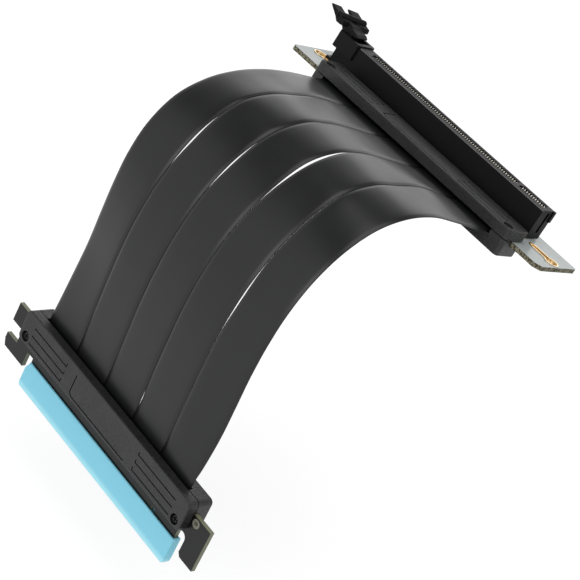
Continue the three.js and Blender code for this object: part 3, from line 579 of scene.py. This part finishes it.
spring_metal, tree, shader = new_material("contact spring", Metallic=0.85, Roughness=0.32)
wear = noise_value(tree, even_noise, on_piece(tree), 1600)
two_tone(tree, shader, wear, (0.55, 0.50, 0.40), (0.93, 0.90, 0.82))
row = [KEY_WALL - KEY_TO_SPRING - number for number in range(SHORT_ROW)]
row += [KEY_WALL + KEY_TO_SPRING + number for number in range(LONG_ROW)]
leaves = []
for along in row:
    for side in (-1, 1):
        inner = [(MOUTH_RIM + up, MOUTH_ACROSS + side * across) for up, across in LEAF_LINE]
        outline = inner + [(up, across + side * LEAF_THICKNESS) for up, across in reversed(inner)]
        leaves.append([[(up, along + half, across) for up, across in outline]
                       for half in (-LEAF_WIDTH / 2, LEAF_WIDTH / 2)])
springs = prisms("contact_springs", leaves, spring_metal)
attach(springs, "riser")

# Latch lever
# The lever is moulded in the slot's plastic and turns in the tower at the slot's end. It has a stem
# with a nose over the mouth, and two ears to press, joined by a rod across the gap between them.
# Its outlines are side views from the axle: up, and along the slot.
PIVOT = (9.2, 53.65)
STEM = [
    (-3.8, -1.5), (-3.8, 0.8), (-1.2, 2.0), (1.4, 2.5), (3.7, 4.2), (4.0, 5.6), (6.6, 5.0),
    (6.3, 1.0), (5.4, -0.2), (4.9, -2.5), (4.1, -3.6), (3.5, -3.0), (3.5, -1.4), (1.4, -1.2),
    (-0.8, -1.8),
]
EAR = [(4.8, 3.0), (4.3, 4.0), (4.3, 6.0), (5.5, 7.4), (7.9, 11.3), (8.4, 11.0), (7.2, 6.6), (6.4, 3.2)]
EAR_DEPTHS = [(-5.6, -1.4), (1.4, 5.2)]
ROD = (7.0, 6.0)
ROD_RADIUS = 1.15
ROD_REACH = 5.2
AXLE_RADIUS = 1.1
AXLE_REACH = 4.3
STEM_REACH = 3.1
SKEW = 0.35
LATCH_EDGE = 0.00025


def round_outline(up, along, radius, sides=20):
    """A circle in the side view."""
    turns = [2 * math.pi * side / sides for side in range(sides)]
    return [(up + radius * math.cos(turn), along + radius * math.sin(turn)) for turn in turns]


def on_lever(outline, start, end, skew=0.0):
    """A side view drawn out across the slot, and set back more the further it is from the ribbons."""
    shape = []
    for across in (start, end):
        back = skew * (across - EAR_DEPTHS[1][1])
        shape.append([(PIVOT[0] + up, PIVOT[1] + along + back, MOUTH_ACROSS + across)
                      for up, along in outline])
    return shape


lever_shapes = {
    "latch_stem": [on_lever(STEM, -STEM_REACH, STEM_REACH)],
    "latch_ears": [on_lever(EAR, *depths, SKEW) for depths in EAR_DEPTHS],
    "latch_rod": [on_lever(round_outline(*ROD, ROD_RADIUS), -ROD_REACH, ROD_REACH, SKEW)],
    "latch_axle": [on_lever(round_outline(0, 0, AXLE_RADIUS), -AXLE_REACH, AXLE_REACH)],
}
for name, shapes in lever_shapes.items():
    piece = prisms(name, shapes, slot_black)
    soften_edges(piece, LATCH_EDGE, 30)
    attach(piece, "latch")
    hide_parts("latch_lever")

# Floor and light
# A plain white floor a little way under the cable, which the plug end holds up, a white
# surround, and two soft lamps.
FLOOR_HEIGHT = -0.03
FLOOR_REACH = 3
FLOOR_GLOW = 0.75
SURROUND_LIGHT = 0.55
CEILING_FROM = 0.42
CEILING_TO = 0.74
CEILING_SHADE = 0.72
floor_mesh = bpy.data.meshes.new("floor")
corners = [(-1, -1), (1, -1), (1, 1), (-1, 1)]
floor_mesh.from_pydata([(x * FLOOR_REACH, y * FLOOR_REACH, FLOOR_HEIGHT) for x, y in corners],
                       [], [(0, 1, 2, 3)])
floor = bpy.data.objects.new("floor", floor_mesh)
scene.collection.objects.link(floor)
floor_white, tree, shader = new_material("floor white", Roughness=0.9, Specular_IOR_Level=0.0,
                                         Base_Color=(0.8, 0.8, 0.8, 1))
rays = node(tree, "ShaderNodeLightPath")
seen = figure(tree, "MAXIMUM", rays.outputs["Is Camera Ray"], rays.outputs["Is Glossy Ray"])
glow = node(tree, "ShaderNodeEmission", Strength=FLOOR_GLOW)
dull = node(tree, "ShaderNodeBsdfDiffuse", Color=(0.35, 0.35, 0.35, 1))
both = node(tree, "ShaderNodeAddShader")
choice = node(tree, "ShaderNodeMixShader")
tree.links.new(glow.outputs["Emission"], both.inputs[0])
tree.links.new(dull.outputs["BSDF"], both.inputs[1])
tree.links.new(seen, choice.inputs["Fac"])
tree.links.new(shader.outputs["BSDF"], choice.inputs[1])
tree.links.new(both.outputs["Shader"], choice.inputs[2])
tree.links.new(choice.outputs["Shader"], tree.nodes["Material Output"].inputs["Surface"])
floor_mesh.materials.append(floor_white)

world = bpy.data.worlds.new("surround")
scene.world = world
world.use_nodes = True
tree = world.node_tree
background = tree.nodes["Background"]
background.inputs["Color"].default_value = (1, 1, 1, 1)
rays = node(tree, "ShaderNodeLightPath")
direct = figure(tree, "MAXIMUM", rays.outputs["Is Camera Ray"], rays.outputs["Is Glossy Ray"])
direct = figure(tree, "MAXIMUM", direct, rays.outputs["Is Transmission Ray"])
level = spread(tree, direct, 0.0, 1.0, SURROUND_LIGHT, 1.0)
# A darker ceiling, which only shiny surfaces show
upward = parts_of(tree, node(tree, "ShaderNodeTexCoord").outputs["Generated"])[2]
ceiling = spread(tree, upward, CEILING_FROM, CEILING_TO, 0.0, CEILING_SHADE)
shade = figure(tree, "MULTIPLY", ceiling, rays.outputs["Is Glossy Ray"])
tree.links.new(figure(tree, "SUBTRACT", level, shade), background.inputs["Strength"])


def soft_lamp(name, place, aim, size, power):
    """A square area lamp that points at a place on the cable."""
    lamp = bpy.data.objects.new(name, bpy.data.lights.new(name, "AREA"))
    lamp.data.shape = "SQUARE"
    lamp.data.size = size
    lamp.data.energy = power
    lamp.location = place
    lamp.rotation_euler = (Vector(aim) - Vector(place)).to_track_quat("-Z", "Y").to_euler()
    scene.collection.objects.link(lamp)


soft_lamp("lamp above", (-0.1, -0.1, 1.0), (0.04, 0.0, 0.06), 0.8, 4.0)
soft_lamp("lamp behind", (0.9, 0.5, 0.3), (0.06, 0.0, 0.1), 0.9, 1.6)
soft_lamp("lamp at the left", (-0.75, -0.1, 0.35), (0.04, 0.0, 0.06), 0.5, 1.6)
